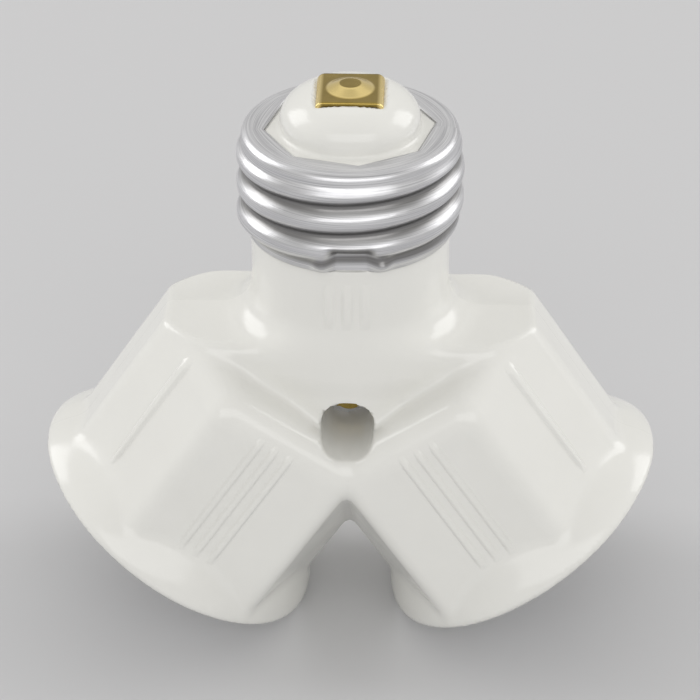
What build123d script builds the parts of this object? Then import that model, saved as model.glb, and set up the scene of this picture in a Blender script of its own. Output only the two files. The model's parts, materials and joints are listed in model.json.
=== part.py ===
from build123d import *
import os
from math import ceil, cos, pi, radians, sin, sqrt, tan

# Twin lamp socket adapter: a medium screw base on top, two lamp sockets splayed below it.
# Millimetres. The origin is on the base's axis at the lower edge of its screw shell, +Z towards the tip,
# and the sockets lean out along -X and +X. Front is -Y.

# Screw thread of lamp and holder
CREST_D = 26.2
PITCH = 3.629
THREAD_DEPTH = 0.9
RUNOUT = 1.8
SHEET = 0.35

# Base screw shell
SHELL_H = 12.65
RIM_R = 1.0
RIM_INSET = 0.6
EDGE_INSET = 1.2
CREST_Z = 9.45
CREST_ANGLE = 180.0
OCTAGON_R = 9.9
OCTAGON_TURN = 7.0
STAKE_W = 8.0
STAKE_H = 2.9

# Neck and nose
NECK_FIT = 0.05
SEAT_FIT = 0.15
NOSE_D = 16.1
NOSE_RISE = 4.5
NOSE_EDGE_R = 3.8
NECK_RIB_GAP = 2.2
NECK_RIB_TOP = 1.85
NECK_RIB_L = 5.6
NECK_FOOT_R = 4.5

# Lamp sockets, placed from the point where their axes meet on the base's axis
SOCKET_TILT = 33.5
AXES_DROP = 9.0
MOUTH_REACH = 38.2
END_REACH = 11.8
HEX_FLATS = 32.0
HEX_SIDES = 33.8
HEX_EDGE_R = 2.2
END_EDGE_R = 3.5
FLANGE_D = 38.1
FLANGE_EDGE_R = 0.9
FLANGE_BAND = 3.5
FLANGE_ROUND_R = 2.5
FLARE_R = 8.0
FLARE_WAIST_D = 31.6
FLARE_BLEND_R = 5.0
CROTCH_R = 2.4

# Shoulders between neck and sockets
SHOULDER_DROP = 10.75
SHOULDER_W = 19.0
SHOULDER_DRAFT = 4.6
SHOULDER_EDGE_R = 2.5
SHOULDER_END_R = 2.2

# Grip ridges on the sockets
RIDGE_W = 1.1
RIDGE_H = 0.35
RIDGE_GAP = 2.0
RIDGE_TOP = 3.0
RIDGE_L = 16.0

# Cavity of each socket
MOUTH_D = 32.8
MOUTH_FLARE = 6.7
MOUTH_EDGE_R = 0.8
BORE_D = 28.0
LEDGE_REACH = 23.0
POCKET_D = 15.0
POCKET_REACH = 17.0

# Screw shells in the sockets
LIP_D = 26.6
LIP_H = 2.6
LIP_SET = 1.9
FLOOR_HOLE_D = 14.0
TAB_W = 3.0

# Brass tip contact and its legs
STRAP = 0.6
STRAP_SPAN = 7.8
STRAP_W = 7.6
STRAP_BEND_R = 0.35
STAPLE_L = 8.0
LEG_W = 4.0
PLATE_SET = 0.45
BUTTON_D = 5.5
BUTTON_TOP_D = 2.6
BUTTON_RISE = 0.65
TONGUE_L = 8.6
TONGUE_LIFT = 12.0
TONGUE_DIP = 1.15
TONGUE_BEND_R = 0.8

# Cross hole, and what is riveted in it
HOLE_D = 6.0
HOLE_DROP = 20.8
WEB = 6.0
RIVET_D = 2.2
RIVET_HEAD_D = 3.4
RIVET_HEAD_H = 0.6
LINK = 0.5
LINK_W = 3.0
LINK_BEND_R = 0.7
LINK_INSET = 1.9
SLOT_CLEAR = 0.12

# Sizes that follow from those above
CREST_R = CREST_D / 2
RIM_OUT_R = CREST_R - RIM_INSET
EDGE_R = CREST_R - EDGE_INSET
NECK_R = EDGE_R - SHEET - NECK_FIT
NECK_TOP = SHELL_H - SHEET
NOSE_TOP = SHELL_H + NOSE_RISE
PLATE_Z = NOSE_TOP - PLATE_SET
STAKE_Y = sqrt(EDGE_R**2 - (STAKE_W / 2) ** 2)
TILT = radians(SOCKET_TILT)
HEX_CORNER = HEX_FLATS / 2 / sqrt(3)
HEX_NIB = (2 * HEX_CORNER - HEX_SIDES / 2) * sqrt(3)
LEG_X = (STRAP_SPAN - STRAP) / 2
TAB_U = (HOLE_DROP - AXES_DROP) * sin(TILT)
FAR = 4 * CREST_D


def socket_plane(side):
    """Frame of one socket: origin where the axes meet, Z out of the mouth, X away from the base's axis."""
    return Plane(
        origin=(0, 0, -AXES_DROP),
        x_dir=(side * cos(TILT), 0, sin(TILT)),
        z_dir=(side * sin(TILT), 0, -cos(TILT)),
    )


def block(x, y, z):
    """Box between three pairs of limits."""
    return Pos(x[0], y[0], z[0]) * Box(
        x[1] - x[0], y[1] - y[0], z[1] - z[0], align=(Align.MIN, Align.MIN, Align.MIN)
    )


def turned(*edges):
    """Solid of revolution about Z from an outline of (radius, height) edges."""
    outline = edges[0]
    for edge in edges[1:]:
        outline += edge
    return revolve(Plane.XZ * make_face(outline), Axis.Z)


def rod_y(diameter, low, high, z):
    """Cylinder along Y on the base's mid plane."""
    return Pos(0, low, z) * Rot(X=-90) * Cylinder(
        diameter / 2, high - low, align=(Align.CENTER, Align.CENTER, Align.MIN)
    )


def strip(plane, points, bend_r, thickness, width):
    """Sheet strip of even thickness: a bent line in the plane, thickened and given its width both ways."""
    line = FilletPolyline(*points, radius=bend_r)
    return extrude(plane * trace(line, thickness), width / 2, both=True)


def thread_core(mid_r, low_r, high_r, low, high, crest_z, crest_angle):
    """Knuckle-threaded core: circles up a helix of half the thread's depth, easing out at both ends."""

    def ease(z):
        share = min(1, (z - low) / RUNOUT, (high - z) / RUNOUT)
        return share * share * (3 - 2 * share)

    levels = ceil((high - low) / (PITCH / 8))
    circles = []
    for level in range(levels + 1):
        z = low + (high - low) * level / levels
        share = ease(z)
        end_r = low_r if z < (low + high) / 2 else high_r
        turn = radians(crest_angle) + 2 * pi * (z - crest_z) / PITCH
        off = share * THREAD_DEPTH / 2
        radius = share * mid_r + (1 - share) * end_r
        circles.append(Pos(off * cos(turn), off * sin(turn), z) * Circle(radius))
    return loft(circles)


def socket_prism():
    """Six-sided body of one socket, with its side corners cut flat and its inner end rounded."""
    half = HEX_FLATS / 2
    side = HEX_SIDES / 2
    corners = [(HEX_CORNER, half), (side, HEX_NIB), (side, -HEX_NIB), (HEX_CORNER, -half)]
    section = Polygon(*corners, *[(-x, -y) for x, y in corners], align=None)
    section = fillet(section.vertices(), HEX_EDGE_R)
    prism = extrude(Pos(0, 0, END_REACH) * section, MOUTH_REACH - FLANGE_BAND - END_REACH, dir=(0, 0, 1))
    return fillet(prism.faces().sort_by(Axis.Z)[0].edges(), END_EDGE_R)


def socket_tube(prism):
    """Outside of one socket: its prism, run into a round flange, with the grip ridges."""
    half = HEX_FLATS / 2
    tube = prism + flange()
    run_in = [edge for edge in tube.edges() if edge.geom_type == GeomType.BSPLINE]
    tube = fillet(run_in, FLARE_BLEND_R)
    for across in (-RIDGE_GAP, 0, RIDGE_GAP):
        for turn in (0, 180):
            tube += Rot(Z=turn) * Pos(across, half, 0) * ridge()
    for turn in (-60, -120):
        tube += Rot(Z=turn) * Pos(0, half, 0) * ridge()
    return tube


def flange():
    """Round flange: waist, concave flare, convex shoulder, plain band and rounded rim."""
    rim_r = FLANGE_D / 2
    waist_r = FLARE_WAIST_D / 2
    band = MOUTH_REACH - FLANGE_EDGE_R - FLANGE_BAND
    run_in = FLARE_R + FLANGE_ROUND_R
    rise = sqrt(run_in**2 - (waist_r + run_in - rim_r) ** 2)
    waist = band - rise
    share = FLARE_R / run_in
    meet = (waist_r + FLARE_R - (waist_r + run_in - rim_r) * share, waist + rise * share)
    return turned(
        Line((0, waist), (waist_r, waist)),
        RadiusArc((waist_r, waist), meet, FLARE_R),
        RadiusArc(meet, (rim_r, band), -FLANGE_ROUND_R),
        Line((rim_r, band), (rim_r, MOUTH_REACH - FLANGE_EDGE_R)),
        RadiusArc((rim_r, MOUTH_REACH - FLANGE_EDGE_R), (rim_r - FLANGE_EDGE_R, MOUTH_REACH), -FLANGE_EDGE_R),
        Line((rim_r - FLANGE_EDGE_R, MOUTH_REACH), (0, MOUTH_REACH)),
        Line((0, MOUTH_REACH), (0, waist)),
    )


def ridge():
    """Grip ridge lying along the socket's axis on the plane y = 0."""
    start = END_REACH + RIDGE_TOP
    section = Polygon(
        (-RIDGE_W / 2, -RIDGE_H), (-RIDGE_W / 2, 0), (-RIDGE_W / 4, RIDGE_H),
        (RIDGE_W / 4, RIDGE_H), (RIDGE_W / 2, 0), (RIDGE_W / 2, -RIDGE_H), align=None,
    )
    return extrude(Pos(0, 0, start) * section, RIDGE_L, dir=(0, 0, 1))


def socket_cavity():
    """Inside of one socket: flared mouth, bore, ledge for the screw shell and pocket for the lamp contact."""
    mouth_r = MOUTH_D / 2
    bore_r = BORE_D / 2
    pocket_r = POCKET_D / 2
    edge = MOUTH_REACH - MOUTH_EDGE_R
    lip = (mouth_r + MOUTH_EDGE_R, MOUTH_REACH)
    return turned(
        Polyline((0, MOUTH_REACH + 1), (lip[0], MOUTH_REACH + 1), lip),
        RadiusArc(lip, (mouth_r, edge), -MOUTH_EDGE_R),
        Polyline(
            (mouth_r, edge), (bore_r, edge - MOUTH_FLARE), (bore_r, LEDGE_REACH), (pocket_r, LEDGE_REACH),
            (pocket_r, POCKET_REACH), (0, POCKET_REACH), (0, MOUTH_REACH + 1),
        ),
    )


def shoulder_x(u):
    """How far out a line along the socket, at distance u from its axis, meets the shoulder's level."""
    reach = (SHOULDER_DROP - AXES_DROP + u * sin(TILT)) / cos(TILT)
    return reach * sin(TILT) + u * cos(TILT)


def shoulder():
    """Shoulder block with drafted top, whose plan follows the sockets' outer corners."""
    half = SHOULDER_W / 2
    fall = half * tan(radians(SHOULDER_DRAFT))
    floor = -SHOULDER_DROP - 2 * HEX_CORNER
    profile = Polygon(
        (0, -SHOULDER_DROP), (half, -SHOULDER_DROP - fall), (half, floor), (-half, floor),
        (-half, -SHOULDER_DROP - fall), align=None,
    )
    profile = fillet(profile.vertices().sort_by(Axis.Y)[2:4], SHOULDER_EDGE_R)
    outer = shoulder_x(HEX_SIDES / 2)
    inner = shoulder_x(2 * HEX_CORNER - half / sqrt(3))
    plan = Polygon(
        (inner, half), (outer, HEX_NIB), (outer, -HEX_NIB), (inner, -half),
        (-inner, -half), (-outer, -HEX_NIB), (-outer, HEX_NIB), (-inner, half), align=None,
    )
    long = extrude(Plane.YZ * profile, FAR, both=True)
    return long & extrude(plan, FAR, both=True)


def above_shoulders():
    """What the shoulders' drafted top and rounded outer ends cut away from the two sockets."""
    fall = FAR * tan(radians(SHOULDER_DRAFT))
    roof = Polygon(
        (0, -SHOULDER_DROP), (FAR, -SHOULDER_DROP - fall), (FAR, FAR), (-FAR, FAR),
        (-FAR, -SHOULDER_DROP - fall), align=None,
    )
    cut = extrude(Plane.YZ * roof, FAR, both=True)
    corner = (shoulder_x(HEX_SIDES / 2), -SHOULDER_DROP)
    run = SHOULDER_END_R * tan((pi / 2 - TILT) / 2)
    top = (corner[0] - run, corner[1])
    low = (corner[0] + run * sin(TILT), corner[1] - run * cos(TILT))
    away = (cos(TILT) * RIM_R, sin(TILT) * RIM_R)
    outline = RadiusArc(top, low, SHOULDER_END_R) + Polyline(
        low, (low[0] + away[0], low[1] + away[1]), (corner[0] + RIM_R, corner[1] + RIM_R),
        (top[0], top[1] + RIM_R), top,
    )
    end = extrude(Plane.XZ * make_face(outline), FAR, both=True)
    return cut + end + mirror(end, Plane.YZ)


def neck_foot():
    """Hollow flare from the neck out onto the shoulders, cut off flush with their front and back."""
    half = SHOULDER_W / 2
    foot = -SHOULDER_DROP - half * tan(radians(SHOULDER_DRAFT))
    top = (NECK_R, foot + NECK_FOOT_R)
    out = (NECK_R + NECK_FOOT_R, foot)
    flare = turned(
        RadiusArc(out, top, NECK_FOOT_R),
        Polyline(top, (0, top[1]), (0, foot - SHEET), (out[0], foot - SHEET), out),
    )
    return flare & block((-FAR, FAR), (-half, half), (-FAR, FAR))


def nose():
    """Neck, octagon seat for the shell's end, and the rounded nose under the tip contact."""
    nose_r = NOSE_D / 2
    round_low = NOSE_TOP - NOSE_EDGE_R
    neck = turned(Polyline(
        (0, -HOLE_DROP - HOLE_D / 2), (NECK_R, -HOLE_DROP - HOLE_D / 2), (NECK_R, NECK_TOP - RIM_R),
        (NECK_R - RIM_R, NECK_TOP), (0, NECK_TOP), (0, -HOLE_DROP - HOLE_D / 2),
    ))
    seat = extrude(
        Pos(0, 0, NECK_TOP - RIM_R) * RegularPolygon(OCTAGON_R - SEAT_FIT, 8, rotation=OCTAGON_TURN),
        RIM_R + SHEET / 2,
    )
    top = turned(
        Polyline((0, NOSE_TOP), (0, NECK_TOP - RIM_R), (nose_r, NECK_TOP - RIM_R), (nose_r, round_low)),
        RadiusArc((nose_r, round_low), (nose_r - NOSE_EDGE_R, NOSE_TOP), -NOSE_EDGE_R),
        Line((nose_r - NOSE_EDGE_R, NOSE_TOP), (0, NOSE_TOP)),
    )
    span = STRAP_SPAN / 2 + SLOT_CLEAR
    wide = STRAP_W / 2 + SLOT_CLEAR
    top -= block((-span, span), (-wide, wide), (PLATE_Z, NOSE_TOP + STRAP))
    whole = neck + neck_foot() + seat + top
    for across in (-NECK_RIB_GAP, 0, NECK_RIB_GAP):
        rib = Pos(across, 0, 0) * block(
            (-RIDGE_W / 2, RIDGE_W / 2), (-NECK_R - RIDGE_H / 2, -NECK_R / 2),
            (-NECK_RIB_TOP - NECK_RIB_L, -NECK_RIB_TOP),
        )
        whole += rib
    return whole


def tongue_points(side):
    """Line of one leg's foot: its lower corner in the pocket, and the end of the lamp contact."""
    floor = -AXES_DROP - (POCKET_REACH - LEG_X * sin(TILT)) / cos(TILT)
    corner = (LEG_X, floor - TONGUE_DIP)
    rise = TILT - radians(TONGUE_LIFT)
    end = (corner[0] + TONGUE_L * cos(rise), corner[1] + TONGUE_L * sin(rise))
    return [(side * corner[0], corner[1]), (side * end[0], end[1])]


def tip_contact():
    """Brass strap: plate with embossed button on the nose, two legs, and a sprung tongue in each pocket."""
    plate = PLATE_Z + STRAP / 2
    over = [(-LEG_X, plate), (LEG_X, plate)]
    left, right = tongue_points(-1), tongue_points(1)
    bends = [TONGUE_BEND_R, STRAP_BEND_R, STRAP_BEND_R, TONGUE_BEND_R]
    long = strip(Plane.XZ, [*left[::-1], *over, *right], bends, STRAP, LEG_W)
    foot = PLATE_Z - STAPLE_L
    staple = strip(Plane.XZ, [(-LEG_X, foot), *over, (LEG_X, foot)], STRAP_BEND_R, STRAP, STRAP_W)
    button = Pos(0, 0, PLATE_Z + STRAP) * Cone(
        BUTTON_D / 2, BUTTON_TOP_D / 2, BUTTON_RISE, align=(Align.CENTER, Align.CENTER, Align.MIN)
    )
    hollow = Pos(0, 0, PLATE_Z) * Cone(
        BUTTON_D / 2, BUTTON_TOP_D / 2, BUTTON_RISE, align=(Align.CENTER, Align.CENTER, Align.MIN)
    )
    return long + staple + button - hollow


def leg_slots():
    """Slots for the strap's legs, wide at the nose and narrow down to the pockets."""
    thick = (LEG_X - STRAP / 2 - SLOT_CLEAR, LEG_X + STRAP / 2 + SLOT_CLEAR)
    wide = STRAP_W / 2 + SLOT_CLEAR
    narrow = LEG_W / 2 + SLOT_CLEAR
    foot = tongue_points(1)[0][1] - STRAP
    cut = block(thick, (-wide, wide), (PLATE_Z - STAPLE_L - SLOT_CLEAR, NOSE_TOP + STRAP))
    cut += block(thick, (-narrow, narrow), (foot, NOSE_TOP))
    return cut + mirror(cut, Plane.YZ)


def tab_layer(side):
    """Depths, front to back, of one screw shell's tab where the two tabs are stacked on the web."""
    back = -WEB / 2 if side > 0 else -WEB / 2 - SHEET
    return back - SHEET, back


def tab(side, grow=0.0):
    """Tab of one screw shell, from its floor to past the rivet, or with grow the slot for it."""
    layer = sorted(-side * y for y in tab_layer(side))
    end = TAB_U / tan(TILT) - RIVET_HEAD_D / 2
    half = TAB_W / 2 + grow
    return socket_plane(side) * block(
        (-TAB_U - half, -TAB_U + half), (layer[0] - grow, layer[1] + grow), (end, LEDGE_REACH + SHEET)
    )


def cross_hole():
    """Hole from front and back to the web in the middle, with the rivet's hole through the web."""
    hole = rod_y(HOLE_D, -FAR, -WEB / 2, -HOLE_DROP) + rod_y(HOLE_D, WEB / 2, FAR, -HOLE_DROP)
    return hole + rivet_hole()


def rivet_hole():
    return rod_y(RIVET_D + SLOT_CLEAR, -WEB, WEB, -HOLE_DROP)


def link_points():
    """Line of the link, seen along X: up from the rivet, forwards, up the neck and out to the stake."""
    foot_y = tab_layer(-1)[0] - LINK / 2
    run_z = -HOLE_DROP + sqrt(HOLE_D**2 - LINK_W**2) / 2 - LINK / 2 - SLOT_CLEAR
    riser_y = -NECK_R + LINK_INSET
    press_y = -STAKE_Y + SHEET + LINK / 2 + NECK_FIT
    step = press_y - riser_y
    knee = STAKE_H / 2 + step
    return [
        (foot_y, -HOLE_DROP - RIVET_HEAD_D / 2), (foot_y, run_z), (riser_y, run_z),
        (riser_y, knee), (press_y, knee - step), (press_y, STAKE_H),
    ]


def link_way():
    """Slot for the link's riser, and the window where it comes out under the shell's stake."""
    riser_y = -NECK_R + LINK_INSET
    half = LINK_W / 2 + SLOT_CLEAR
    deep = (riser_y - LINK / 2 - SLOT_CLEAR, riser_y + LINK / 2 + SLOT_CLEAR)
    slot = block((-half, half), deep, (-HOLE_DROP, STAKE_H + SHEET))
    window = block((-half, half), (-FAR, deep[1]), (0, STAKE_H + SHEET))
    flat_y = -STAKE_Y + SHEET + NECK_FIT
    seat = block((-STAKE_W / 2 - SHEET, STAKE_W / 2 + SHEET), (-FAR, flat_y), (0, STAKE_H + SHEET))
    return slot + window + seat


def crotch_edges(body):
    """Edges on the mid plane between the sockets, below the point where their axes meet."""

    def on_mid_plane(edge):
        return all(abs((edge @ share).X) < NECK_FIT for share in (0, 0.5, 1))

    return [edge for edge in body.edges() if on_mid_plane(edge) and edge.center().Z < -AXES_DROP]


def moulded_body():
    prism = socket_prism()
    tube = socket_tube(prism)
    cavity = socket_cavity()
    body = shoulder() + socket_plane(-1) * prism + socket_plane(1) * prism
    body = fillet(crotch_edges(body), CROTCH_R)
    body = body + socket_plane(-1) * tube + socket_plane(1) * tube
    body = body - above_shoulders() + nose()
    for side in (-1, 1):
        body = body - socket_plane(side) * cavity - tab(side, SLOT_CLEAR)
    return body - cross_hole() - leg_slots() - link_way()


def base_screw_shell():
    rim_low = SHELL_H - RIM_R

    def core(inset, floor):
        mid_r = CREST_R - THREAD_DEPTH / 2 - inset
        wall = thread_core(mid_r, EDGE_R - inset, RIM_OUT_R - inset, 0, rim_low, CREST_Z, CREST_ANGLE)
        round_r = RIM_R - inset
        top = SHELL_H - inset
        rim = turned(
            Polyline((0, top), (0, rim_low), (RIM_OUT_R - inset, rim_low)),
            RadiusArc((RIM_OUT_R - inset, rim_low), (RIM_OUT_R - RIM_R, top), -round_r),
            Line((RIM_OUT_R - RIM_R, top), (0, top)),
        )
        stake = block(
            (-STAKE_W / 2 - inset, STAKE_W / 2 + inset), (-FAR, -STAKE_Y + inset), (floor, STAKE_H + inset)
        )
        return wall + rim - stake

    opening = extrude(RegularPolygon(OCTAGON_R, 8, rotation=OCTAGON_TURN), SHELL_H + 1)
    return core(0, -1) - core(SHEET, -1) - opening


def socket_screw_shell(side):
    low = LEDGE_REACH
    high = MOUTH_REACH - LIP_SET
    lip_low = high - LIP_H

    def core(inset, floor):
        lip_r = LIP_D / 2 + SHEET - inset
        mid_r = lip_r - THREAD_DEPTH / 2
        wall = thread_core(mid_r, mid_r, lip_r, floor, lip_low, low, 0)
        lip = Pos(0, 0, lip_low) * Cylinder(lip_r, LIP_H, align=(Align.CENTER, Align.CENTER, Align.MIN))
        return wall + lip

    hole = Pos(0, 0, low - 1) * Cylinder(
        FLOOR_HOLE_D / 2, SHEET + 2, align=(Align.CENTER, Align.CENTER, Align.MIN)
    )
    shell = core(0, low) - core(SHEET, low + SHEET) - hole
    return socket_plane(side) * shell + tab(side) - rivet_hole()


def shell_link():
    return strip(Plane.YZ, link_points(), LINK_BEND_R, LINK, LINK_W) - rivet_hole()


def shell_rivet():
    front = tab_layer(-1)[0] - LINK
    back = WEB / 2
    rivet = rod_y(RIVET_D, front - RIVET_HEAD_H, back + RIVET_HEAD_H, -HOLE_DROP)
    rivet += rod_y(RIVET_HEAD_D, front - RIVET_HEAD_H, front, -HOLE_DROP)
    return rivet + rod_y(RIVET_HEAD_D, back, back + RIVET_HEAD_H, -HOLE_DROP)


PIECES = {
    "moulded_body": moulded_body(),
    "base_screw_shell": base_screw_shell(),
    "tip_contact": tip_contact(),
    "left_socket_shell": socket_screw_shell(-1),
    "right_socket_shell": socket_screw_shell(1),
    "shell_link": shell_link(),
    "shell_rivet": shell_rivet(),
}

os.makedirs("parts", exist_ok=True)
for name, piece in PIECES.items():
    export_step(piece, f"parts/{name}.step")
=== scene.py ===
import json
from math import atan2, cos, pi, radians, sin, sqrt, tan

import bpy
import numpy as np
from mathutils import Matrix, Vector


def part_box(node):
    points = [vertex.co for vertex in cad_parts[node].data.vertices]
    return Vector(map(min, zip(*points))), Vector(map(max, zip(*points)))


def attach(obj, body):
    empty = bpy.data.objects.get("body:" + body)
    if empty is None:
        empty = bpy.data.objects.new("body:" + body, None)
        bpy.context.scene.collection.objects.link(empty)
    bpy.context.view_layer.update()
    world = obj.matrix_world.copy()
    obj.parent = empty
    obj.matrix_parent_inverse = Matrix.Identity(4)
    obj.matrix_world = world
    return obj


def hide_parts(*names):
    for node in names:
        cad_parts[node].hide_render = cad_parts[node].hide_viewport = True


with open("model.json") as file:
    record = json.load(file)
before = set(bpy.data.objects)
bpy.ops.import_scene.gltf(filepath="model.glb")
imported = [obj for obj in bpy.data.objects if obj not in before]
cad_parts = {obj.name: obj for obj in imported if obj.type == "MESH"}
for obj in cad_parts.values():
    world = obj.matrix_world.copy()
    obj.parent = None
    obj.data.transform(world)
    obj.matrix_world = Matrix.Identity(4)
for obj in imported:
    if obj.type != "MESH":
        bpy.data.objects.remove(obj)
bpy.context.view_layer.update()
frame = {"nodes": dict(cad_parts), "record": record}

# Moulded body: one pressing of white urea plastic, glossy from the polished mould, with soft edges and
# fillets. The neck, the shoulders and both sockets are a single piece, which everything else is pushed
# into or over.
MM = 0.001
mounts = {mount["name"]: mount for mount in frame["record"]["mounts"]}
lip_at = np.array(mounts["right_lamp_socket"]["pos_m"]) / MM
lip_way = mounts["right_lamp_socket"]["axis"]
TILT = atan2(lip_way[0], -lip_way[2])
LIP_REACH = lip_at[0] / sin(TILT)
AXES_DROP = -lip_at[2] - LIP_REACH * cos(TILT)
body_low, body_high = (np.array(corner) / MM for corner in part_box("moulded_body"))
shell_high = np.array(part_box("base_screw_shell")[1]) / MM
SHELL_H = shell_high[2]
SHEET = 0.35

HEX_FLATS, HEX_SIDES = 32.0, 33.8
HEX_EDGE_R, HEX_EDGE_TURN = 2.4, 60
SIDE_EDGE_R, SIDE_EDGE_TURN = 5.0, 30
CORNER_OUT, CORNER_IN = 7.9, 9.9
SLANT_OUT, SLANT_IN = radians(52.2), radians(62.8)
END_REACH, END_DRAFT, END_EDGE_R = 11.4, 0.13, 3.2
WALL_FILLET_R, CROTCH_R = 1.3, 0.9

SHOULDER_DROP, SHOULDER_W, SHOULDER_DRAFT = AXES_DROP + 1.75, 19.0, radians(4.6)
SHOULDER_EDGE_R, SHOULDER_EDGE_TURN = 1.0, 56
SHOULDER_SOFT_R, SHOULDER_SOFT_X, SHOULDER_SOFT_L = 4.8, 16.5, 6.0

MOUTH_REACH, MOUTH_LEAN = 38.0, 0.031
MOUTH_R, MOUTH_FLARE, MOUTH_EDGE_R = 16.4, 6.7, 0.8
FLANGE_R, FLANGE_SHIFT, FLANGE_EDGE_R = 19.15, 0.38, 0.9
FLARE_START, FLARE_END, FLARE_WAIST_R, FLARE_DIVE = 30.4, 37.9, 15.4, 0.25
FLARE_BLEND_R, FLARE_BLEND_TURN = 4.5, 30
BORE_R, LEDGE_REACH = 14.0, 23.0
POCKET_R, POCKET_REACH = 7.5, 17.0
HOLE_R, HOLE_DROP, HOLE_EDGE_R, WEB = 3.05, AXES_DROP + 11.65, 0.2, 6.0

NECK_R, NECK_TOP, NECK_FOOT, NECK_EDGE_R = 11.5, SHELL_H - SHEET, -AXES_DROP - 13.9, 1.0
NECK_FILLET_R, NECK_FILLET_LOW_R = 3.6, 0.9
NECK_FADE_DROP, NECK_FADE_L = SHOULDER_DROP + 8, 4.5
CREST_R, EDGE_INSET = shell_high[0], 1.2
STAKE_W, STAKE_H = 8.0, 2.9
STAKE_Y = sqrt((CREST_R - EDGE_INSET) ** 2 - (STAKE_W / 2) ** 2)

OCTAGON_R, OCTAGON_TURN = 9.9, radians(7)
SEAT_FIT, SEAT_RISE = 0.15, 0.15
NOSE_R, NOSE_TOP, NOSE_EDGE_W, NOSE_EDGE_H = 8.05, body_high[2], 4.7, 3.6
NOSE_FILLET_R, NOSE_AROUND, NOSE_RINGS = 0.5, 192, 28
STRAP_SPAN, STRAP_W = 7.8, 7.6
PLATE_Z, PLATE_CLEAR, PLATE_EASE = NOSE_TOP - 0.4, 0.06, 0.25

RIDGE_W, RIDGE_H, RIDGE_GAP = 1.2, 0.3, 2.0
RIDGE_START, RIDGE_L, RIDGE_EASE = 14.1, 18.6, 1.6
LONE_OUT, LONE_W, LONE_TAPER = 5.1, 1.7, 0.5
LONE_START, LONE_L = 13.4, 17.8
NECK_RIB_W, NECK_RIB_H, NECK_RIB_GAP = 1.6, 0.24, 2.1
NECK_RIB_TOP, NECK_RIB_L = 7.4 - AXES_DROP, 6.2
RIDGE_STEP, RIDGE_ACROSS, RIDGE_SIDE = 0.75, 11, 0.7
RIDGE_SUNK, RIDGE_ROOT = 0.015, 0.2

WAVE_H, WAVE_L, WAVE_DRIFT = 0.012, 13.0, 5.0
SEAM_IN, SEAM_OUT, SEAM_FADE_LOW, SEAM_FADE_HIGH = 0.04, 0.14, 0.3, 0.7
UREA_DARK, UREA_LIGHT = (0.79, 0.785, 0.75, 1), (0.84, 0.836, 0.80, 1)
NET_CELL, SETTLE_STEPS = 0.52, 4


def rounded(a, b, radius, turn=90):
    """Edge between two faces given as distances: the larger of them, raised close to the edge by a parabola,
    which leaves a round of that radius where the faces' directions differ by that turn in degrees."""
    blend = 4 * radius * (1 - cos(radians(turn) / 2))
    near = np.maximum(blend - np.abs(a - b), 0)
    return np.maximum(a, b) + near * near / (4 * blend)


def filleted(a, b, radius, turn=90):
    """Hollow corner between two solids: a rounded edge turned inside out."""
    return -rounded(-a, -b, radius, turn)


def stretch(t, low, high, ease):
    """One between two limits and nothing outside them, rising in an S over a short length at each."""
    share = np.clip(np.minimum(t - low, high - t) / ease, 0, 1)
    return share * share * (3 - 2 * share)


def flange_radius(w):
    """Flange's outline along the socket: a cone hidden in the socket's walls, then an S from the waist out to
    the rim; and the length of its slope for each step along."""
    length, rise = FLARE_END - FLARE_START, FLANGE_R - FLARE_WAIST_R
    share = np.clip((w - FLARE_START) / length, 0, 1)
    short = np.minimum(w - FLARE_START, 0)
    steep = np.where(short < 0, FLARE_DIVE, 6 * share * (1 - share) * rise / length)
    return FLARE_WAIST_R + rise * share * share * (3 - 2 * share) + FLARE_DIVE * short, np.sqrt(1 + steep**2)


def flange(u, v, w, leaning):
    """Flange: distance to its turned outline, on an axis that moves off the socket's towards the mouth."""
    radius, steep = flange_radius(leaning)
    offset = FLANGE_SHIFT * np.clip((w - POCKET_REACH) / (FLARE_START - POCKET_REACH), 0, 1)
    return np.maximum((np.hypot(u - offset, v) - radius) / steep, POCKET_REACH - w)


def six_walls(u, v):
    """Six-sided outside of a socket: distances to its front, slants and sides, joined by rounded edges."""
    front = v - HEX_FLATS / 2
    slant = np.maximum(
        (u - CORNER_OUT) * sin(SLANT_OUT) + front * cos(SLANT_OUT),
        (-u - CORNER_IN) * sin(SLANT_IN) + front * cos(SLANT_IN),
    )
    tube = rounded(front, slant, HEX_EDGE_R, HEX_EDGE_TURN)
    return rounded(tube, np.abs(u) - HEX_SIDES / 2, SIDE_EDGE_R, SIDE_EDGE_TURN)


def cavity(u, v, w):
    """Inside of a socket: a bore down to the ledge, widening evenly at the mouth, and a narrower pocket."""
    reach = np.hypot(u, v)
    opening = np.clip((w - MOUTH_REACH + MOUTH_EDGE_R) / MOUTH_FLARE + 1, 0, None)
    throat = BORE_R + (MOUTH_R - BORE_R) * opening
    bore = np.maximum(reach - throat, LEDGE_REACH - w)
    pocket = np.maximum(reach - POCKET_R, POCKET_REACH - w)
    return np.minimum(bore, pocket)


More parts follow.
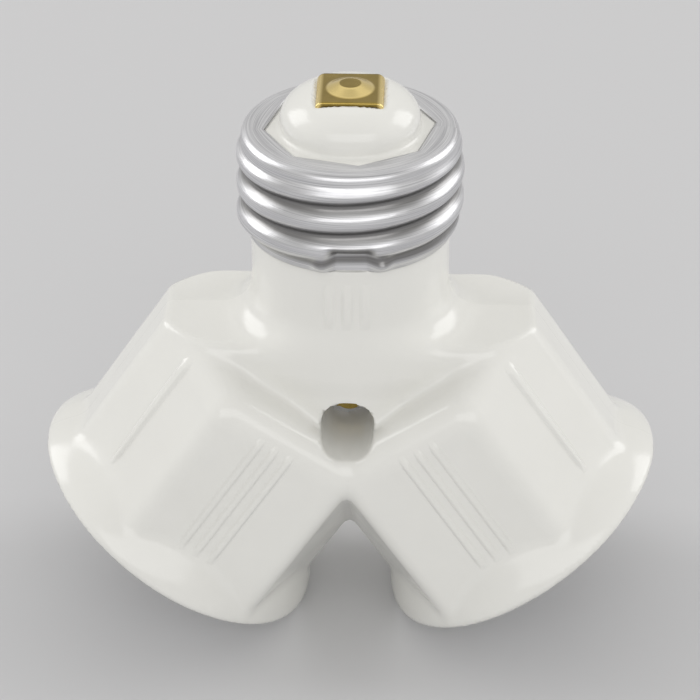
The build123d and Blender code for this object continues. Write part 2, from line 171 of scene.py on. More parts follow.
def sockets(x, y, z):
    """Both sockets and the shoulders. The pair is folded onto one socket by |x|, turned to a parabola near
    x = 0 so that the crotch is rounded. The walls are cut off by the end wall, the shoulder's front and its
    roof, the flange is blended on, and the mouth's plane and the cavity are cut off the same way."""
    fold = np.where(np.abs(x) < CROTCH_R, (x * x + CROTCH_R**2) / (2 * CROTCH_R), np.abs(x))
    u = fold * cos(TILT) + (z + AXES_DROP) * sin(TILT)
    w = fold * sin(TILT) - (z + AXES_DROP) * cos(TILT)
    v = np.abs(y)
    end = END_REACH + END_DRAFT * (v - SHOULDER_W / 2) - w
    wall = filleted(end, v - SHOULDER_W / 2, WALL_FILLET_R)
    tube = rounded(six_walls(u, v), wall, END_EDGE_R)
    soft = np.clip((SHOULDER_SOFT_X - fold) / SHOULDER_SOFT_L, 0, 1)
    edge_r = SHOULDER_EDGE_R + (SHOULDER_SOFT_R - SHOULDER_EDGE_R) * soft
    tube = rounded(tube, z + SHOULDER_DROP + v * tan(SHOULDER_DRAFT), edge_r, SHOULDER_EDGE_TURN)
    leaning = w + MOUTH_LEAN * u
    tube = filleted(tube, flange(u, v, w, leaning), FLARE_BLEND_R, FLARE_BLEND_TURN)
    outside = rounded(tube, leaning - MOUTH_REACH, FLANGE_EDGE_R)
    return rounded(outside, -cavity(u, v, w), MOUTH_EDGE_R)


def body_distance(x, y, z):
    """Moulded body without its nose: sockets and round neck joined by a fillet, broad on the shoulders, less
    the seat under the shell's stake and the cross hole, with a faint wave from shrinkage."""
    neck = rounded(np.hypot(x, y) - NECK_R, z - NECK_TOP, NECK_EDGE_R)
    high = np.clip((z + NECK_FADE_DROP) / NECK_FADE_L, 0, 1)
    fillet_r = NECK_FILLET_LOW_R + (NECK_FILLET_R - NECK_FILLET_LOW_R) * high * high * (3 - 2 * high)
    solid = filleted(sockets(x, y, z), np.maximum(neck, NECK_FOOT - z), fillet_r)
    seat = np.maximum(np.abs(x) - STAKE_W / 2 - SHEET, y + STAKE_Y - SHEET)
    solid = np.maximum(solid, -np.maximum(seat, np.maximum(-z, z - STAKE_H - SHEET)))
    hole = np.maximum(np.hypot(x, z + HOLE_DROP) - HOLE_R, WEB / 2 - np.abs(y))
    wave = sum(np.sin(2 * pi * a / WAVE_L + b / WAVE_DRIFT) for a, b in ((x, y), (y, z), (z, x)))
    return rounded(solid, -hole, HOLE_EDGE_R) + WAVE_H * wave


def slope(distance, points, reach=0.02):
    """Steepest rise of a distance function at many points, from differences over a short reach each way."""
    steps = np.eye(3) * reach
    rises = [distance(*(points + step).T) - distance(*(points - step).T) for step in steps]
    return np.stack(rises, axis=1) / (2 * reach)


def net_surface(distance, low, high, cell):
    """Surface where a distance function is nought. Space is cut into cubes, and each cube that the surface
    passes gets a point, the mean of where it crosses the cube's edges. Each crossed edge gets the face
    between the four cubes round it. Steps along the slope, each as long as the distance left, then set the
    points on the surface."""
    axes = [np.arange(a - cell, b + 2 * cell, cell) for a, b in zip(low, high)]
    field = distance(*np.meshgrid(*axes, indexing="ij"))
    cubes = tuple(n - 1 for n in field.shape)
    total, count, crossings = np.zeros((*cubes, 3)), np.zeros(cubes), []
    for axis in range(3):
        one, two = (axis + 1) % 3, (axis + 2) % 3
        turned = np.moveaxis(field, (axis, one, two), (0, 1, 2))
        start, stop = turned[:-1], turned[1:]
        crossed = (start < 0) != (stop < 0)
        share = np.divide(start, start - stop, out=np.zeros_like(start), where=crossed)
        sums = np.moveaxis(total, (axis, one, two), (0, 1, 2))
        hits = np.moveaxis(count, (axis, one, two), (0, 1, 2))
        for a in (0, 1):
            for b in (0, 1):
                part = (slice(None), slice(a, a + hits.shape[1]), slice(b, b + hits.shape[2]))
                sums[..., axis] += share[part]
                sums[..., one] += a * crossed[part]
                sums[..., two] += b * crossed[part]
                hits += crossed[part]
        crossings.append((axis, one, two, crossed[:, 1:-1, 1:-1], start[:, 1:-1, 1:-1] < 0))
    used = count > 0
    index = np.full(cubes, -1)
    index[used] = np.arange(used.sum())
    points = np.array([a[0] for a in axes]) + cell * (np.argwhere(used) + total[used] / count[used][:, None])
    faces = []
    for axis, one, two, crossed, leaving in crossings:
        at = np.moveaxis(index, (axis, one, two), (0, 1, 2))
        ring = np.stack([at[:, :-1, :-1], at[:, 1:, :-1], at[:, 1:, 1:], at[:, :-1, 1:]], axis=-1)[crossed]
        faces.append(np.where(leaving[crossed][:, None], ring, ring[:, ::-1]))
    return settled(distance, points, cell), np.concatenate(faces)


def settled(distance, points, longest):
    """Points moved onto the surface where a distance function is nought, by steps along its slope."""
    for _ in range(SETTLE_STEPS):
        rise = slope(distance, points)
        left = distance(*points.T) / (rise * rise).sum(axis=1)
        points = points - np.clip(left, -longest, longest)[:, None] * rise
    return points


def facing(distance, points):
    """Directions square to the surface of a distance function."""
    rise = slope(distance, points)
    return rise / np.linalg.norm(rise, axis=1, keepdims=True)


def socket_place(side):
    """From a socket's own frame, Z out of its mouth and X away from the base's axis, to the part's."""
    def place(points):
        """Points turned by the tilt, to the left or right, and moved down to where the sockets' axes meet."""
        u, v, w = np.moveaxis(points, -1, 0)
        x = side * (u * cos(TILT) + w * sin(TILT))
        return np.stack([x, -side * v, u * sin(TILT) - w * cos(TILT) - AXES_DROP], axis=-1)
    return place


def grid_faces(rows, columns, close_rows=True):
    """Faces between neighbours of a grid of points, going on round its columns and, if closed, its rows."""
    r = np.arange(rows - (not close_rows))[:, None]
    c = np.arange(columns)[None, :]
    near, far = r * columns, (r + 1) % rows * columns
    here, next_one = c, (c + 1) % columns
    return np.stack([near + here, near + next_one, far + next_one, far + here], axis=-1).reshape(-1, 4)


def end_caps(rows, columns):
    """Faces that close both ends of a tube of points, in strips that run from one side of it to the other."""
    k = np.arange(columns // 2 - 1)
    first = np.stack([k, k + 1, columns - 2 - k, columns - 1 - k], axis=1)
    return np.concatenate([first[:, ::-1], first + (rows - 1) * columns])


def tube_faces(rows, columns):
    """Faces of a tube of points, with its ends closed."""
    return np.concatenate([grid_faces(rows, columns, close_rows=False), end_caps(rows, columns)])


def grid_facing(grid, closed):
    """Directions square to a grid of points: the cross product of its steps across columns and along rows."""
    along = np.gradient(grid, axis=0)
    across = np.roll(grid, -1, axis=1) - np.roll(grid, 1, axis=1) if closed else np.gradient(grid, axis=1)
    square = np.cross(across, along).reshape(-1, 3)
    return square / np.linalg.norm(square, axis=1, keepdims=True)


def laid_ridge(start, end, across, width, height, taper=1.0):
    """Ridge: a low bank with S-shaped sides carried along a straight line, easing in and out at its ends, its
    width falling to the taper's share of it. Each point goes down to the body's surface along the slope, then
    out by the ridge's height. The edges are sunk a hair, and the underside lies deeper in the body."""
    length = np.linalg.norm(end - start)
    share = np.linspace(0, 1, int(length / RIDGE_STEP))[:, None, None]
    side = np.linspace(-1, 1, RIDGE_ACROSS)[None, :, None]
    beside = across * side * width / 2 * (1 - (1 - taper) * share)
    spots = settled(body_distance, (start + (end - start) * share + beside).reshape(-1, 3), RIDGE_STEP)
    out = facing(body_distance, spots).reshape(share.size, side.size, 3)
    spots = spots.reshape(out.shape)
    bank = stretch(side, -1, 1, RIDGE_SIDE) * stretch(share * length, 0, length, RIDGE_EASE)
    top = spots + (height * bank - RIDGE_SUNK) * out
    ways = grid_facing(top, False).reshape(out.shape)
    under = (spots - RIDGE_ROOT * out)[:, ::-1]
    faces = tube_faces(share.size, 2 * side.size)
    if (ways * out).sum() < 0:
        faces, ways = faces[:, ::-1], -ways
    ways = np.concatenate([ways, -out[:, ::-1]], axis=1)
    return np.concatenate([top, under], axis=1).reshape(-1, 3), faces, ways.reshape(-1, 3)


def nose_grid():
    """Octagon seat and nose, turned: seat's wall and edge, its top, a small fillet, the drum and its rounded
    top, let down to a flat seat under the strap's plate, with an S-shaped wall round it."""
    turns = np.linspace(0, 2 * pi, NOSE_AROUND, endpoint=False)[None, :]
    seat_top, soft = NECK_TOP + SEAT_RISE, SEAT_FIT
    seat_r = octagon(turns, OCTAGON_R - SEAT_FIT)
    arc, small = (np.linspace(0, pi / 2, count)[:, None] for count in (NOSE_RINGS, NOSE_RINGS // 4))
    inwards, across = (np.linspace(0, 1, count)[1:-1, None] for count in (NOSE_RINGS, NOSE_RINGS // 4))
    foot_r = NOSE_R + NOSE_FILLET_R
    radius = np.concatenate([
        seat_r, seat_r - soft + soft * np.cos(small), seat_r - soft + (foot_r - seat_r + soft) * across,
        foot_r - NOSE_FILLET_R * np.sin(small) + 0 * turns,
        NOSE_R - NOSE_EDGE_W * (1 - np.cos(arc)) + 0 * turns,
        (NOSE_R - NOSE_EDGE_W) * (1 - inwards) + 0 * turns,
    ])
    height = np.concatenate([
        [[NECK_TOP - NECK_EDGE_R]], seat_top - soft + soft * np.sin(small), seat_top + 0 * across,
        seat_top + NOSE_FILLET_R * (1 - np.cos(small)), NOSE_TOP - NOSE_EDGE_H * (1 - np.sin(arc)),
        NOSE_TOP + 0 * inwards,
    ]) + 0 * turns
    x, y = radius * np.cos(turns), radius * np.sin(turns)
    past = np.maximum(np.abs(x) - STRAP_SPAN / 2, np.abs(y) - STRAP_W / 2) - PLATE_CLEAR
    under = stretch(-past, -PLATE_EASE, STRAP_SPAN, PLATE_EASE)
    return np.stack([x, y, height - under * np.maximum(height - PLATE_Z + PLATE_CLEAR, 0)], axis=-1)


def octagon(turns, corner_r):
    """Octagon as a radius for each angle: the apothem over the cosine of the angle from the side's middle."""
    return corner_r * cos(pi / 8) / np.cos((turns - OCTAGON_TURN) % (pi / 4) - pi / 8)


def new_piece(name, points, faces, material, node):
    """Object at the origin from points in millimetres and four-sided faces. It rides with the root and
    stands in for a node."""
    mesh = bpy.data.meshes.new(name)
    mesh.vertices.add(len(points))
    mesh.vertices.foreach_set("co", (points * MM).astype(np.float32).ravel())
    mesh.loops.add(faces.size)
    mesh.loops.foreach_set("vertex_index", faces.astype(np.int32).ravel())
    mesh.polygons.add(len(faces))
    mesh.polygons.foreach_set("loop_start", np.arange(0, faces.size, 4, dtype=np.int32))
    mesh.update()
    mesh.shade_smooth()
    mesh.materials.append(material)
    piece = bpy.data.objects.new(name, mesh)
    bpy.context.scene.collection.objects.link(piece)
    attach(piece, "root")
    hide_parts(node)
    return piece


def add_node(tree, kind, inputs=None, **settings):
    """Shader node with its settings, and its inputs joined to other nodes' sockets or set to plain values."""
    made = tree.nodes.new(kind)
    for name, value in settings.items():
        setattr(made, name, value)
    for name, value in (inputs or {}).items():
        if isinstance(value, bpy.types.NodeSocket):
            tree.links.new(value, made.inputs[name])
        else:
            made.inputs[name].default_value = value
    return made


def new_finish(name, **constants):
    """Material with a bare shader, its constant sockets set, and the tree to build the rest in."""
    material = bpy.data.materials.new(name)
    material.use_nodes = True
    shader = next(n for n in material.node_tree.nodes if n.type == "BSDF_PRINCIPLED")
    for socket, value in constants.items():
        shader.inputs[socket.replace("_", " ")].default_value = value
    return material, material.node_tree, shader


def handling_marks_group():
    """Shared effect: cloudy patches of more and less gloss, as handling leaves them."""
    group = bpy.data.node_groups.new("handling_marks", "ShaderNodeTree")
    group.interface.new_socket("Place", in_out="INPUT", socket_type="NodeSocketVector")
    group.interface.new_socket("Patch Scale", in_out="INPUT", socket_type="NodeSocketFloat")
    group.interface.new_socket("Glossy", in_out="INPUT", socket_type="NodeSocketFloat")
    group.interface.new_socket("Dull", in_out="INPUT", socket_type="NodeSocketFloat")
    group.interface.new_socket("Roughness", in_out="OUTPUT", socket_type="NodeSocketFloat")
    group.interface.new_socket("Cloud", in_out="OUTPUT", socket_type="NodeSocketFloat")
    given = add_node(group, "NodeGroupInput").outputs
    cloud = add_node(group, "ShaderNodeTexNoise", {
        "Vector": given["Place"], "Scale": given["Patch Scale"], "Detail": 5.0, "Roughness": 0.6,
    }).outputs["Fac"]
    level = add_node(group, "ShaderNodeMapRange", {
        "Value": cloud, "From Min": 0.3, "From Max": 0.7, "To Min": given["Glossy"], "To Max": given["Dull"],
    }).outputs["Result"]
    add_node(group, "NodeGroupOutput", {"Roughness": level, "Cloud": cloud})
    return group


handling_marks = handling_marks_group()


def white_urea():
    """Warm white moulded urea: hardly mottled, glossy, with orange-peel ripple and the parting line."""
    material, tree, shader = new_finish("white_urea", IOR=1.52, Specular_IOR_Level=0.5)
    place = add_node(tree, "ShaderNodeTexCoord").outputs["Object"]
    marks = add_node(tree, "ShaderNodeGroup", {
        "Place": place, "Patch Scale": 120.0, "Glossy": 0.13, "Dull": 0.21,
    }, node_tree=handling_marks)
    tint = add_node(tree, "ShaderNodeMix", {
        "Factor": marks.outputs["Cloud"], "A": UREA_DARK, "B": UREA_LIGHT,
    }, data_type="RGBA")
    peel = add_node(tree, "ShaderNodeTexNoise", {
        "Vector": place, "Scale": 900.0, "Detail": 2.0,
    }).outputs["Fac"]
    split = add_node(tree, "ShaderNodeSeparateXYZ", {"Vector": place}).outputs
    off = add_node(tree, "ShaderNodeMath", {0: split["Y"]}, operation="ABSOLUTE").outputs["Value"]
    line = add_node(tree, "ShaderNodeMapRange", {
        "Value": off, "From Min": SEAM_IN * MM, "From Max": SEAM_OUT * MM, "To Min": 1.0, "To Max": 0.0,
    }).outputs["Result"]
    below = add_node(tree, "ShaderNodeMapRange", {
        "Value": split["Z"], "From Min": (SEAM_FADE_LOW - SHOULDER_DROP) * MM,
        "From Max": (SEAM_FADE_HIGH - SHOULDER_DROP) * MM, "To Min": 1.0, "To Max": 0.0,
    }).outputs["Result"]
    seam = add_node(tree, "ShaderNodeMath", {0: line, 1: below}, operation="MULTIPLY").outputs["Value"]
    ripple = add_node(tree, "ShaderNodeBump", {"Height": peel, "Strength": 0.06, "Distance": 0.0001})
    ridge = add_node(tree, "ShaderNodeBump", {
        "Height": seam, "Strength": 0.25, "Distance": 0.00005, "Normal": ripple.outputs["Normal"],
    })
    tree.links.new(tint.outputs["Result"], shader.inputs["Base Color"])
    tree.links.new(marks.outputs["Roughness"], shader.inputs["Roughness"])
    tree.links.new(ridge.outputs["Normal"], shader.inputs["Normal"])
    return material


net, net_faces = net_surface(body_distance, body_low, [*body_high[:2], NECK_TOP], NET_CELL)
nose = nose_grid()
surfaces = [
    (net, net_faces, facing(body_distance, net)),
    (nose.reshape(-1, 3), tube_faces(*nose.shape[:2]), grid_facing(nose, True)),
]
for side in (-1, 1):
    for face in (-1, 1):
        front_v, lone_v = face * HEX_FLATS / 2, face * (HEX_FLATS / 2 - LONE_OUT * tan(SLANT_OUT))
        ridges = [((k * RIDGE_GAP, front_v), (1, 0), RIDGE_START, RIDGE_L, RIDGE_W, 1) for k in (-1, 0, 1)]
        lone_way = (cos(SLANT_OUT), -face * sin(SLANT_OUT))
        ridges.append(((CORNER_OUT + LONE_OUT, lone_v), lone_way, LONE_START, LONE_L, LONE_W, LONE_TAPER))
        for (u, v), (du, dv), low, length, width, taper in ridges:
            start, end, beside = socket_place(side)(np.array([
                (u, v, low), (u, v, low + length), (u + du, v + dv, low),
            ]))
            surfaces.append(laid_ridge(start, end, beside - start, width, RIDGE_H, taper))
for k in (-1, 0, 1):
    x = k * NECK_RIB_GAP
    top = np.array([x, -sqrt(NECK_R**2 - x**2), NECK_RIB_TOP])
    end = top - (0, 0, NECK_RIB_L)
    surfaces.append(laid_ridge(top, end, np.array([1, 0, 0]), NECK_RIB_W, NECK_RIB_H))
firsts = np.cumsum([0] + [len(surface[0]) for surface in surfaces])
body_points = np.concatenate([surface[0] for surface in surfaces])
body_faces = np.concatenate([surface[1] + first for surface, first in zip(surfaces, firsts)])
body_ways = np.concatenate([surface[2] for surface in surfaces])
moulding = new_piece("moulding", body_points, body_faces, white_urea(), "moulded_body")
moulding.data.normals_split_custom_set_from_vertices(body_ways.tolist())

# Socket screw shells: thin aluminium sheet, drawn to a cup and rolled to a thread, dropped on the ledge in
# each bore. Each has a floor with a round opening, and a flat tab that goes back to the rivet.
PITCH, THREAD_DEPTH, RUNOUT = 3.629, 0.9, 1.8
LIP_R, LIP_H, LIP_SET = mounts["right_lamp_socket"]["dims"]["r_mm"], 2.6, 1.9
CREST_BREADTH, FLOOR_HOLE_R, LIP_ROUND = 1.5, 7.0, 0.08
SHELL_AROUND, FLOOR_ROWS, INSIDE_ROWS, OUTSIDE_ROWS = 240, 12, 90, 60
TAB_W, TAB_PAST, TAB_HOLE_R, TAB_AROUND = 3.0, 1.7, 1.16, 48
FACE_FADE_LOW, FACE_FADE_HIGH, FACE_DULL, STREAK_DRAG = 0.25, 0.05, 0.16, 0.12
STREAK_DARK, STREAK_BRIGHT, PAINTED_ROOT_SHADE = (0.46, 0.46, 0.48, 1), (0.90, 0.90, 0.91, 1), (0.16, 0.155, 0.15, 1)
TINY = 1e-9
rivet_low, rivet_high = (np.array(corner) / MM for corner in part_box("shell_rivet"))
RIVET_REACH = -AXES_DROP - (rivet_low[2] + rivet_high[2]) / 2


def rolled_thread(turns, along, mid_r, low_r, high_r, low, high, crest_at, crest_turn):
    """Rolled thread: the radius swings between crest and root once a pitch, as a cosine raised to a power
    that makes the crests broad, and the swing eases away to a plain radius at both ends. Also how deep it is,
    0 to 1."""
    share = stretch(along, low, high, RUNOUT)
    ends = np.where(along < (low + high) / 2, low_r, high_r)
    angle = turns - crest_turn - 2 * pi * (along - crest_at) / PITCH
    deep = (0.5 - 0.5 * np.cos(angle)) ** CREST_BREADTH
    return share * (mid_r + THREAD_DEPTH * (0.5 - deep)) + (1 - share) * ends, share * deep


def outwards(points, faces):
    """The faces, turned over if the volume that they enclose, added up from the origin, is negative."""
    a, b, c, d = (points[faces[:, k]] for k in range(4))
    volume = (np.cross(b - a, c - a) * a + np.cross(c - a, d - a) * a).sum()
    return faces if volume > 0 else faces[:, ::-1]


def lay_map(piece, faces, rows, columns):
    """Map for streaks: millimetres round the piece by millimetres along its section, with one mean length for
    each line of the grid."""
    grid = np.empty(len(piece.data.vertices) * 3, np.float32)
    piece.data.vertices.foreach_get("co", grid)
    grid = grid.reshape(rows, columns, 3) / MM
    across = np.linalg.norm(np.roll(grid, -1, axis=0) - grid, axis=2).mean(axis=1)
    around = np.linalg.norm(np.roll(grid, -1, axis=1) - grid, axis=2).mean(axis=0)
    along = np.concatenate([[0], np.cumsum(across)])
    about = np.concatenate([[0], np.cumsum(around)])
    row, column = faces // columns, faces % columns
    row = np.where((row == 0) & (row.max(axis=1, keepdims=True) == rows - 1), rows, row)
    column = np.where((column == 0) & (column.max(axis=1, keepdims=True) == columns - 1), columns, column)
    layer = piece.data.uv_layers.new(name="streaks")
    layer.uv.foreach_set("vector", np.stack([about[column], along[row]], axis=-1).astype(np.float32).ravel())


def turned_piece(name, radius, along, deep, place, material, node, slot):
    """Closed shell from rows of radius and height along an axis, each carried round it. Place maps the
    piece's own right-handed frame into the part. How deep each point lies in the thread is kept for the
    finish."""
    rows, columns = radius.shape
    turns = np.linspace(0, 2 * pi, columns, endpoint=False)
    points = np.stack([radius * np.cos(turns), radius * np.sin(turns), along + 0 * radius], axis=-1)
    points = place(points).reshape(-1, 3)
    faces = outwards(points, grid_faces(rows, columns))
    piece = new_piece(name, points, faces, material, node)
    lay_map(piece, faces, rows, columns)
    root = piece.data.attributes.new("root", "FLOAT", "POINT")
    root.data.foreach_set("value", (deep + 0 * radius).astype(np.float32).ravel())
    return piece


def rolled_streaks_group():
    """Shared effect: streaks along the way a sheet was rolled, noise of its own fineness on each axis."""
    group = bpy.data.node_groups.new("rolled_streaks", "ShaderNodeTree")
    group.interface.new_socket("Place", in_out="INPUT", socket_type="NodeSocketVector")
    group.interface.new_socket("Fineness", in_out="INPUT", socket_type="NodeSocketVector")
    group.interface.new_socket("Streak", in_out="OUTPUT", socket_type="NodeSocketFloat")
    given = add_node(group, "NodeGroupInput").outputs
    drawn = add_node(group, "ShaderNodeVectorMath", {
        0: given["Place"], 1: given["Fineness"],
    }, operation="MULTIPLY").outputs["Vector"]
    streak = add_node(group, "ShaderNodeTexNoise", {
        "Vector": drawn, "Scale": 1.0, "Detail": 4.0, "Roughness": 0.65,
    }).outputs["Fac"]
    add_node(group, "NodeGroupOutput", {"Streak": streak})
    return group


rolled_streaks = rolled_streaks_group()


def rolled_aluminium():
    """Bright rolled aluminium: streaks round the thread, cloudy gloss, painted shade in the thread's roots
    and along the step above the stake, and a duller face where the end is turned in."""
    material, tree, shader = new_finish("rolled_aluminium", Metallic=1.0)
    place = add_node(tree, "ShaderNodeTexCoord").outputs["Object"]
    streak_map = add_node(tree, "ShaderNodeUVMap", uv_map="streaks").outputs["UV"]
    streak = add_node(tree, "ShaderNodeGroup", {
        "Place": streak_map, "Fineness": (0.06, 7.0, 1.0),
    }, node_tree=rolled_streaks).outputs["Streak"]
    marks = add_node(tree, "ShaderNodeGroup", {
        "Place": place, "Patch Scale": 260.0, "Glossy": 0.22, "Dull": 0.36,
    }, node_tree=handling_marks)
    split = add_node(tree, "ShaderNodeSeparateXYZ", {"Vector": place}).outputs
    face = add_node(tree, "ShaderNodeMapRange", {
        "Value": split["Z"], "From Min": (SHELL_H - FACE_FADE_LOW) * MM,
        "From Max": (SHELL_H - FACE_FADE_HIGH) * MM, "To Min": 0.0, "To Max": FACE_DULL,
    }).outputs["Result"]
    drag = add_node(tree, "ShaderNodeMath", {0: streak, 1: STREAK_DRAG, 2: face}, operation="MULTIPLY_ADD")
    rough = add_node(tree, "ShaderNodeMath", {0: marks.outputs["Roughness"], 1: drag.outputs["Value"]})
    contrast = add_node(tree, "ShaderNodeMapRange", {
        "Value": streak, "From Min": 0.28, "From Max": 0.72, "To Min": 0.0, "To Max": 1.0,
    }).outputs["Result"]
    bright = add_node(tree, "ShaderNodeMix", {
        "Factor": contrast, "A": STREAK_DARK, "B": STREAK_BRIGHT,
    }, data_type="RGBA").outputs["Result"]
    # Painted shade: the thread's roots and the step above the stake are darkened by how deep they lie.
    deep = add_node(tree, "ShaderNodeAttribute", attribute_name="root").outputs["Fac"]
    root_shade = add_node(tree, "ShaderNodeMapRange", {
        "Value": deep, "From Min": 0.2, "From Max": 0.8, "To Min": 0.0, "To Max": 0.8,
    }).outputs["Result"]
    tint = add_node(tree, "ShaderNodeMix", {
        "Factor": root_shade, "A": bright, "B": PAINTED_ROOT_SHADE,
    }, data_type="RGBA").outputs["Result"]
    bump = add_node(tree, "ShaderNodeBump", {"Height": streak, "Strength": 0.25, "Distance": 0.00003})
    tree.links.new(tint, shader.inputs["Base Color"])
    tree.links.new(rough.outputs["Value"], shader.inputs["Roughness"])
    tree.links.new(bump.outputs["Normal"], shader.inputs["Normal"])
    return material


aluminium = rolled_aluminium()


def cup_rows():
    """Section of a socket's cup: out along its floor, up the thread to the lip, and back on the outside."""
    turns = np.linspace(0, 2 * pi, SHELL_AROUND, endpoint=False)[None, :]
    top = MOUTH_REACH - LIP_SET
    lip_low = top - LIP_H
    lip_r = LIP_R + SHEET
    mid_r = lip_r - THREAD_DEPTH / 2

    def wall(along, inset, floor):
        """Radius less an inset, a thread from the floor up and then a plain lip; and the thread's depth."""
        thread, deep = rolled_thread(turns, along, mid_r, mid_r, lip_r, floor, lip_low, LEDGE_REACH, 0)
        plain = along >= lip_low
        return np.where(plain, lip_r, thread) - inset, np.where(plain, 0, deep)

    inner_floor = LEDGE_REACH + SHEET
    floor_r = np.linspace(FLOOR_HOLE_R, mid_r - SHEET, FLOOR_ROWS, endpoint=False)[:, None] + 0 * turns
    up = np.linspace(inner_floor, top, INSIDE_ROWS)[:, None]
    down = np.linspace(top, LEDGE_REACH, OUTSIDE_ROWS)[:, None]
    lip_edge = np.array([[top + LIP_ROUND]])
    inside, inside_deep = wall(up, SHEET, inner_floor)
    outside, outside_deep = wall(down, 0, LEDGE_REACH)
    radius = np.concatenate([floor_r, inside, lip_r - SHEET / 2 + 0 * turns, outside, floor_r[::-1]])
    deep = np.concatenate([0 * floor_r, inside_deep, 0 * turns, outside_deep, 0 * floor_r])
    level = 0 * floor_r[:, :1]
    along = np.concatenate([level + inner_floor, up, lip_edge, down, level + LEDGE_REACH])
    return radius, along, deep


def tab_grid(side):
    """Tab of one cup, a flat strip from its floor to past the rivet: rays from the edge of the rivet's hole
    out to the nearest of the strip's four sides, on its back face and then on its front."""
    middle_u, middle_w, half = -RIVET_REACH * sin(TILT), RIVET_REACH * cos(TILT), TAB_W / 2
    rise = LEDGE_REACH + SHEET - middle_w
    corners = np.arctan2([rise, rise, -TAB_PAST, -TAB_PAST], [half, -half, half, -half])
    turns = np.sort(np.concatenate([np.linspace(-pi, pi, TAB_AROUND, endpoint=False), corners]))
    ends = np.where(turns > 0, rise, TAB_PAST) / np.maximum(np.abs(np.sin(turns)), TINY)
    edge = np.minimum(half / np.maximum(np.abs(np.cos(turns)), TINY), ends)
    hole = 0 * edge + TAB_HOLE_R
    radius = np.stack([hole, edge, edge, hole])
    back = -WEB / 2 - SHEET * (side < 0)
    depth = np.array([back, back, back - SHEET, back - SHEET])[:, None] + 0 * radius
    u, w = middle_u + radius * np.cos(turns), middle_w + radius * np.sin(turns)
    return np.stack([u, -side * depth, w], axis=-1)


for name, side in (("left", -1), ("right", 1)):
    node = f"{name}_socket_shell"
    turned_piece(f"{name}_screw_cup", *cup_rows(), socket_place(side), aluminium, node, "shell_aluminium")
    tab = socket_place(side)(tab_grid(side))
    tab_points = tab.reshape(-1, 3)
    tab_faces = outwards(tab_points, grid_faces(*tab.shape[:2]))
    new_piece(f"{name}_cup_tab", tab_points, tab_faces, aluminium, node).data.shade_flat()

# Tip contact: one strap of half-hard brass, bent over the nose like a staple, with a cone pressed up in its
# plate. Its legs go down slots in the neck and end as a sprung tongue in each socket.
STRAP, LEG_W, STAPLE_L = 0.6, 4.0, 8.0
PLATE_MIDDLE = PLATE_Z + STRAP / 2
STRAP_BEND_R, TONGUE_BEND_R = 0.65, 0.8
BUTTON_R, BUTTON_TOP_R, BUTTON_RISE, BUTTON_SOFT = 2.75, 1.3, 0.65, 0.07
TONGUE_L, TONGUE_LIFT, TONGUE_DIP = 8.6, radians(12), 1.15
STRAP_ACROSS, STRAP_EDGE_R, EDGE_STEPS = 56, 0.12, 5
STRAP_STEPS, BEND_STEPS, SAME_SPOT = [10, 60, 60, 60, 10], 11, 1e-6
# Painted light on the strap: where the painted highlight of bright brass goes, and the browns of the painted
# dark reflection.
HIGHLIGHT_TOP, HIGHLIGHT_FOOT = (BUTTON_TOP_R * 0.9, BUTTON_TOP_R), (BUTTON_R * 1.04, BUTTON_R * 0.94)
HIGHLIGHT_BEND = (STRAP_SPAN / 2 - 0.85, STRAP_SPAN / 2 - 0.45)
SHADED_BRASS_DARK, SHADED_BRASS_LIGHT = (0.28, 0.20, 0.045, 1), (0.46, 0.34, 0.10, 1)
HIGHLIT_BRASS = (0.86, 0.68, 0.29, 1)


def bent_line(corners, radii, steps):
    """Line through corners with an arc of its own radius at each bend, as points and the directions along
    it. Each straight run has its own number of steps, and all arcs have the same."""
    spots, ways = [corners[0]], []
    for before, at, after, radius in zip(corners, corners[1:], corners[2:], radii):
        back, on = (np.subtract(p, at) / np.linalg.norm(np.subtract(p, at)) for p in (before, after))
        half = 0.5 * np.arccos(np.clip(back @ on, -1, 1))
        middle = (back + on) / np.linalg.norm(back + on)
        centre = at + middle * radius / sin(half)
        first, last = at + back * radius / tan(half), at + on * radius / tan(half)
        sweep = np.linspace(-1, 1, BEND_STEPS)[:, None] * (pi / 2 - half)
        spread = (last - first) / np.linalg.norm(last - first)
        spots.append(first)
        ways.append(centre - radius * (middle * np.cos(sweep) - spread * np.sin(sweep)))
        spots.append(last)
    spots.append(corners[-1])
    line = []
    for k, count in enumerate(steps):
        line.append(np.linspace(spots[2 * k], spots[2 * k + 1], count)[:-1])
        line.append(ways[k] if k < len(ways) else [spots[-1]])
    line = np.concatenate(line)
    line = line[np.concatenate([[True], np.linalg.norm(np.diff(line, axis=0), axis=1) > SAME_SPOT])]
    along = np.gradient(line, axis=0)
    return line, along / np.linalg.norm(along, axis=1, keepdims=True)


def soft_ramp(t, soft):
    """Ramp from nothing to one between t = 0 and 1: half the difference of two hyperbolas, so both ends
    are eased."""
    return 0.5 * (1 + np.sqrt(t * t + soft * soft) - np.sqrt((t - 1) ** 2 + soft * soft))


def strap_line():
    """Middle of the strap's thickness from end to end: tongue, leg, plate, leg and tongue, with its bends."""
    leg_x = (STRAP_SPAN - STRAP) / 2
    floor = -AXES_DROP - (POCKET_REACH - leg_x * sin(TILT)) / cos(TILT)
    corner = np.array([leg_x, PLATE_MIDDLE])
    knee = np.array([leg_x, floor - TONGUE_DIP])
    tip = knee + TONGUE_L * np.array([cos(TILT - TONGUE_LIFT), sin(TILT - TONGUE_LIFT)])
    flip = np.array([-1, 1])
    corners = [tip * flip, knee * flip, corner * flip, corner, knee, tip]
    return bent_line(corners, [TONGUE_BEND_R, STRAP_BEND_R, STRAP_BEND_R, TONGUE_BEND_R], STRAP_STEPS)


